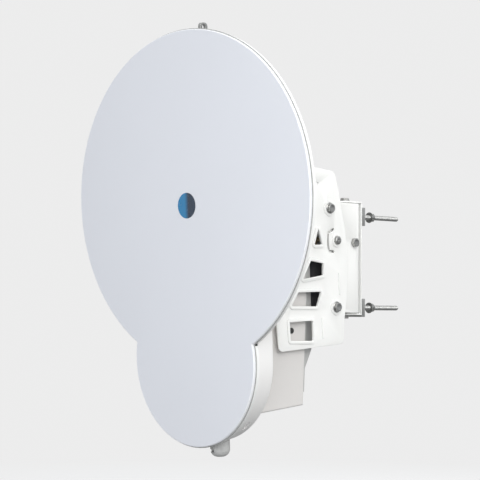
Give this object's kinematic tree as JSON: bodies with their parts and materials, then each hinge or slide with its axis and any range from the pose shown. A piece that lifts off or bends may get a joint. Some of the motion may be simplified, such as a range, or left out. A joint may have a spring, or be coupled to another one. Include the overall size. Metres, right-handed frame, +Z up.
{
  "type": "outdoor wireless bridge",
  "caption": "Point-to-point microwave radio with a large and a small dish under one radome, on a two-axis bracket with studs for a pole clamp.",
  "frame": {"origin": "centre of the rectangle of the four clamp studs, on the plane of the clamp nuts' rear faces", "axes": "+Z up, -Y out of the radome towards the far station, +Y along the studs to the rear, +X to the right seen from the front"},
  "size_m": [0.524, 0.4357, 0.6784],
  "materials": {
    "radome_plastic": "smooth satin white",
    "gasket": "matt grey",
    "badge": "gloss two-tone",
    "reflector_metal": "satin",
    "feed_plastic": "matt off-white",
    "white_metal": "white powder coat on a casting",
    "grey_metal": "grey powder coat on a casting",
    "shroud_plastic": "satin white",
    "grey_rubber": "matt grey",
    "black_rubber": "matt black",
    "black_metal": "black anodised",
    "black_plastic": "matt black",
    "board": "green solder mask",
    "light_pipe": "clear light pipe",
    "display": "dark smoked window",
    "bracket_metal": "white powder coat",
    "steel": "plain stainless",
    "zinc_steel": "zinc plate",
    "bronze": "plain bronze"
  },
  "bodies": {
    "pole_mount": {"pole_bracket": "bracket_metal", "upper_jaw": "zinc_steel", "lower_jaw": "zinc_steel", "clamp_studs": "zinc_steel", "clamp_nuts": "zinc_steel", "azimuth_pivot_bolts": "steel", "azimuth_pivot_nuts": "steel", "azimuth_fork": "steel"},
    "azimuth_carrier": {"azimuth_bracket": "bracket_metal", "azimuth_bushes": "bronze", "azimuth_lock_bolts": "steel", "azimuth_lock_nuts": "steel", "elevation_pivot_bolts": "steel", "elevation_pivot_nuts": "steel", "elevation_washers": "bronze"},
    "radio_head": {"radome": "radome_plastic", "radome_gasket": "gasket", "front_badge": "badge", "receive_reflector": "reflector_metal", "transmit_reflector": "reflector_metal", "antenna_septum": "reflector_metal", "receive_feed_tube": "reflector_metal", "receive_subreflector": "feed_plastic", "transmit_feed_tube": "reflector_metal", "transmit_subreflector": "feed_plastic", "receive_hub": "white_metal", "lower_shroud": "shroud_plastic", "drain_cap": "grey_rubber", "hoist_lug": "steel", "main_housing": "white_metal", "housing_gasket": "black_rubber", "rear_cover": "grey_metal", "cover_screws": "steel", "heat_sink": "black_metal", "radio_board": "board", "radio_shields": "reflector_metal", "main_board": "board", "thermal_pad": "grey_rubber", "power_board": "board", "position_antenna": "feed_plastic", "data_jacks": "steel", "audio_jack": "black_plastic", "cable_grommets": "black_rubber", "status_lights": "light_pipe", "signal_display": "display", "pressure_vent": "black_plastic", "ground_bolt": "steel", "side_plate_left": "bracket_metal", "side_plate_right": "bracket_metal", "plate_screws": "steel", "elevation_lock_bolts": "steel", "elevation_lock_nuts": "steel", "elevation_bushes": "steel", "elevation_fork": "steel"},
    "azimuth_screw": {"azimuth_screw": "steel"},
    "azimuth_barrel": {"azimuth_barrel": "bronze"},
    "elevation_screw": {"elevation_screw": "steel"},
    "elevation_barrel": {"elevation_barrel": "bronze"},
    "port_cover": {"port_cover": "shroud_plastic"},
    "reset_button": {"reset_button": "black_plastic"}
  },
  "joints": [
    {"name": "azimuth_turn", "type": "hinge", "parent": "pole_mount", "child": "azimuth_carrier", "pos_m": [0, -0.12, 0.033], "axis": [0, 0, 1], "range_deg": [-8, 8]},
    {"name": "elevation_tilt", "type": "hinge", "parent": "azimuth_carrier", "child": "radio_head", "pos_m": [0, -0.116, 0.033], "axis": [1, 0, 0], "range_deg": [-13, 7]},
    {"name": "azimuth_screw_spin", "type": "hinge", "parent": "azimuth_carrier", "child": "azimuth_screw", "pos_m": [0.0863, -0.068, 0.031], "axis": [1, 0, 0], "range_deg": [-2095, 2095]},
    {"name": "azimuth_barrel_slide", "type": "slide", "parent": "azimuth_carrier", "child": "azimuth_barrel", "axis": [1, 0, 0], "range_m": [-0.0073, 0.0073]},
    {"name": "elevation_screw_spin", "type": "hinge", "parent": "azimuth_carrier", "child": "elevation_screw", "pos_m": [0, -0.147, 0.0953], "axis": [0, 0, 1], "range_deg": [-2030, 1095]},
    {"name": "elevation_barrel_slide", "type": "slide", "parent": "azimuth_carrier", "child": "elevation_barrel", "axis": [0, 0, 1], "range_m": [-0.0039, 0.0072]},
    {"name": "port_cover_slide", "type": "slide", "parent": "radio_head", "child": "port_cover", "axis": [0, 0.9945, 0.1048], "range_m": [0, 0.0935]},
    {"name": "reset_button_press", "type": "slide", "parent": "radio_head", "child": "reset_button", "axis": [0, -0.0523, 0.9986], "range_m": [0, 0.0012], "stiffness_N_per_m": 400, "springref_m": -0.001}
  ],
  "couplings": [
    {"joint": "azimuth_screw_spin", "follows": "azimuth_turn", "ratio": 260.88},
    {"joint": "azimuth_barrel_slide", "follows": "azimuth_turn", "m_per_rad": 0.0519},
    {"joint": "elevation_screw_spin", "follows": "elevation_tilt", "ratio": 155.32},
    {"joint": "elevation_barrel_slide", "follows": "elevation_tilt", "m_per_rad": -0.0309}
  ]
}
